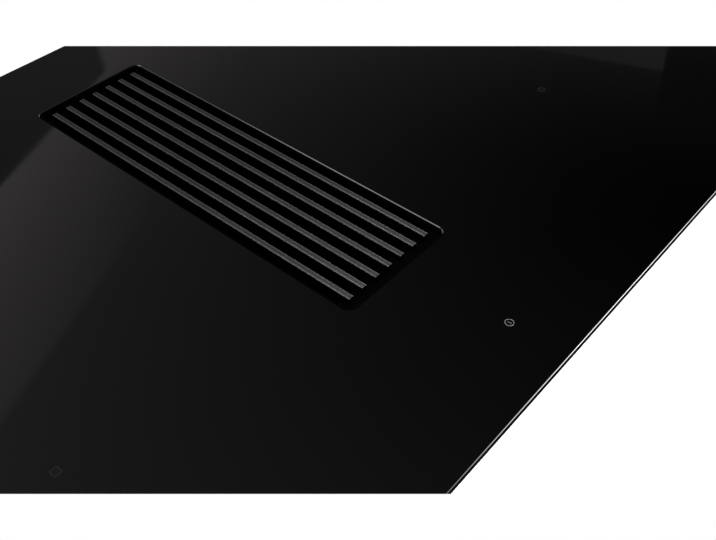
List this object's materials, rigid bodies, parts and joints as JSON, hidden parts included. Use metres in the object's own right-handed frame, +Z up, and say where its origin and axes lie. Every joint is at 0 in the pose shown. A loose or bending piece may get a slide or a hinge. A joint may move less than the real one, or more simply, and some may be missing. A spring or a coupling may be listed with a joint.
{
  "type": "downdraft induction cooktop",
  "caption": "Flush black glass induction hob with a lengthwise central intake grille, grease filter, collecting tray, and a centrifugal blower with a flat duct outlet below.",
  "frame": {"origin": "on the base plane that the blower and tray cradle stand on, under the middle of the glass", "axes": "+X to the cook's right, +Y to the back (the duct outlet), +Z up through the glass"},
  "size_m": [0.83, 0.52, 0.2097],
  "materials": {
    "black_glass": "polished black glass-ceramic",
    "satin_slat": "satin dark grey, brushed along its length",
    "black_coat": "matt black coating",
    "sheet_steel": "zinc-plated sheet",
    "aluminium": "mill-finish aluminium",
    "dark_plastic": "moulded, fine spark texture",
    "grey_plastic": "moulded, fine spark texture",
    "pale_plastic": "moulded, satin",
    "seal_rubber": "closed-cell foam tape",
    "copper": "lacquered stranded copper",
    "ferrite_carrier": "moulded carrier with ferrite bars",
    "circuit_board": "solder-masked circuit board",
    "felt": "pressed ceramic felt",
    "stainless": "bright stainless steel"
  },
  "bodies": {
    "hob": {"glass_plate": "black_glass", "worktop_seal": "seal_rubber", "well_seal": "seal_rubber", "casing": "sheet_steel", "clamp_bracket_left_front": "sheet_steel", "clamp_bracket_left_back": "sheet_steel", "clamp_bracket_right_front": "sheet_steel", "clamp_bracket_right_back": "sheet_steel", "mains_filter_board": "circuit_board", "touch_board": "circuit_board", "well_liner": "dark_plastic", "plenum_tub": "dark_plastic", "tray_cradle": "sheet_steel", "scroll_housing": "grey_plastic", "scroll_cover": "grey_plastic", "motor_base": "sheet_steel", "suction_hood": "dark_plastic", "outlet_spigot": "dark_plastic", "flap_pin": "stainless", "terminal_box": "grey_plastic", "terminal_lid": "grey_plastic", "terminal_block": "pale_plastic", "cable_gland": "dark_plastic", "coil_plate_left": "aluminium", "felt_left": "felt", "power_board_left": "circuit_board", "heat_sink_left": "aluminium", "fan_frame_left": "dark_plastic", "coil_carrier_left_front": "ferrite_carrier", "coil_winding_left_front": "copper", "coil_carrier_left_back": "ferrite_carrier", "coil_winding_left_back": "copper", "coil_plate_right": "aluminium", "felt_right": "felt", "power_board_right": "circuit_board", "heat_sink_right": "aluminium", "fan_frame_right": "dark_plastic", "coil_carrier_right_front": "ferrite_carrier", "coil_winding_right_front": "copper", "coil_carrier_right_back": "ferrite_carrier", "coil_winding_right_back": "copper"},
    "grille": {"grille_frame": "black_coat", "grille_slat_1": "satin_slat", "grille_slat_2": "satin_slat", "grille_slat_3": "satin_slat", "grille_slat_4": "satin_slat", "grille_slat_5": "satin_slat", "grille_slat_6": "satin_slat", "grille_slat_7": "satin_slat"},
    "filter": {"filter_frame": "stainless", "filter_mesh_left": "stainless", "filter_mesh_right": "stainless", "filter_strap": "stainless"},
    "collecting_tray": {"collecting_tray": "pale_plastic"},
    "impeller": {"impeller": "dark_plastic", "motor_rotor": "aluminium"},
    "fan_left": {"fan_rotor_left": "grey_plastic"},
    "fan_right": {"fan_rotor_right": "grey_plastic"},
    "flap": {"backdraft_flap": "grey_plastic"}
  },
  "joints": [
    {"name": "grille_lift", "type": "slide", "parent": "hob", "child": "grille", "axis": [0, 0, 1], "range_m": [0, 0.168]},
    {"name": "filter_lift", "type": "slide", "parent": "hob", "child": "filter", "axis": [0, 0, 1], "range_m": [0, 0.084]},
    {"name": "tray_slide", "type": "slide", "parent": "hob", "child": "collecting_tray", "axis": [0, -1, 0], "range_m": [0, 0.3]},
    {"name": "impeller_spin", "type": "hinge", "parent": "hob", "child": "impeller", "pos_m": [0.18855, 0.02, 0.05], "axis": [0, 0, 1], "continuous": true},
    {"name": "fan_left_spin", "type": "hinge", "parent": "hob", "child": "fan_left", "pos_m": [-0.1403, 0.146, 0.16], "axis": [0, 0, 1], "continuous": true},
    {"name": "fan_right_spin", "type": "hinge", "parent": "hob", "child": "fan_right", "pos_m": [0.1403, -0.118, 0.16], "axis": [0, 0, 1], "continuous": true},
    {"name": "flap_swing", "type": "hinge", "parent": "hob", "child": "flap", "pos_m": [0.21155, 0.211, 0.0845], "axis": [1, 0, 0], "range_deg": [0, 70]}
  ],
  "couplings": [
    {"joint": "filter_lift", "follows": "grille_lift", "ratio": 0.5}
  ]
}
